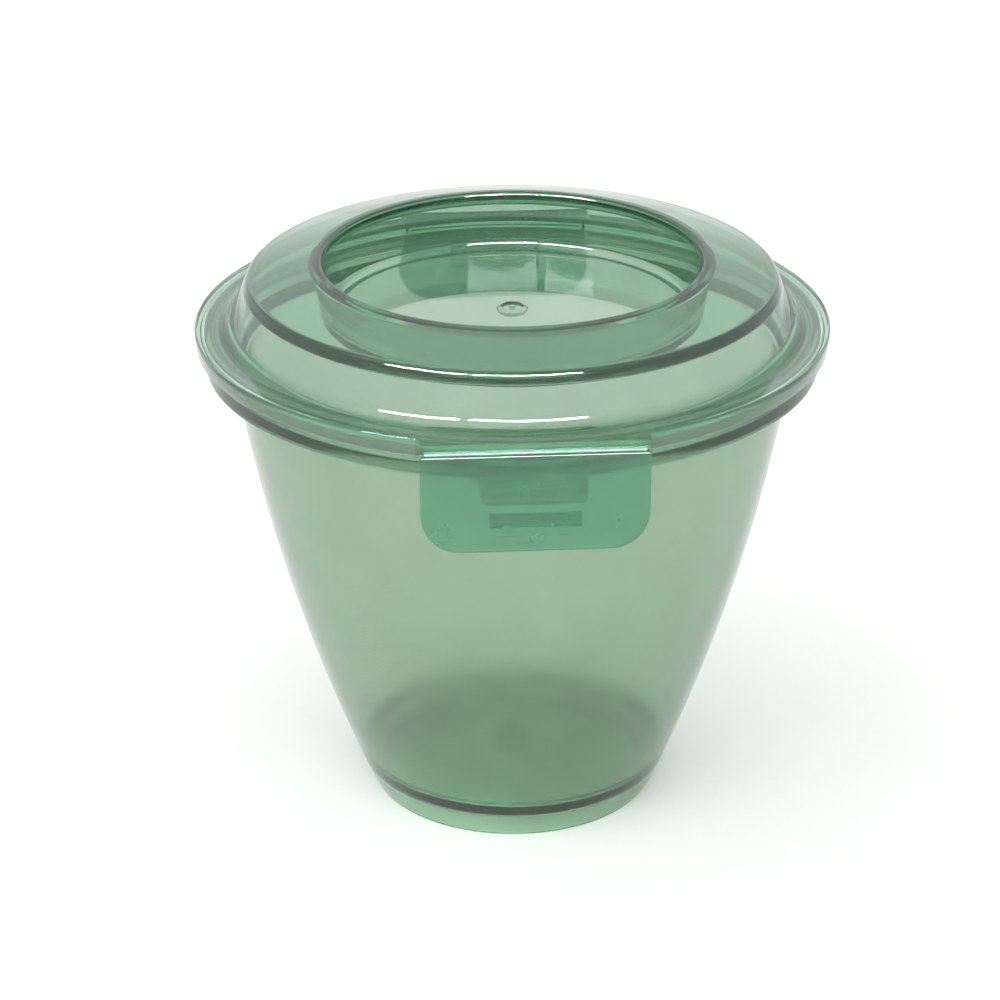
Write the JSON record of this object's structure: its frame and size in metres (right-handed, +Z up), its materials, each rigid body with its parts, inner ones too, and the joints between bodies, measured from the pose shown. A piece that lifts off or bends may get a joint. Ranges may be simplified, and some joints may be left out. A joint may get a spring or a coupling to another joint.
{
  "type": "snap lid food container",
  "caption": "Deep round food container in clear tinted plastic, with a stacking lid and snap flaps on living hinges.",
  "frame": {"origin": "centre of the base, on the surface it stands on", "axes": "+Z up along the container's axis, -Y towards the front flap"},
  "size_m": [0.145, 0.1474, 0.1324],
  "materials": {
    "bowl_plastic": "clear green tinted moulded plastic, lightly hazed",
    "lid_plastic": "clear green tinted moulded plastic, high gloss",
    "flap_plastic": "clear green tinted moulded plastic, satin",
    "seal_silicone": "translucent silicone"
  },
  "bodies": {
    "bowl": {"bowl": "bowl_plastic"},
    "lid": {"lid": "lid_plastic", "lid_seal": "seal_silicone", "front_living_hinge": "flap_plastic", "rear_living_hinge": "flap_plastic"},
    "front_flap": {"front_flap": "flap_plastic", "front_latch_lip": "flap_plastic"},
    "rear_flap": {"rear_flap": "flap_plastic", "rear_latch_lip": "flap_plastic"}
  },
  "joints": [
    {"name": "lid_lift", "type": "slide", "parent": "bowl", "child": "lid", "axis": [0, 0, 1], "range_m": [0, 0.06]},
    {"name": "front_flap_hinge", "type": "hinge", "parent": "lid", "child": "front_flap", "pos_m": [0, -0.073, 0.1159], "axis": [-1, 0, 0], "range_deg": [-8, 170]},
    {"name": "rear_flap_hinge", "type": "hinge", "parent": "lid", "child": "rear_flap", "pos_m": [0, 0.073, 0.1159], "axis": [1, 0, 0], "range_deg": [-8, 170]}
  ]
}
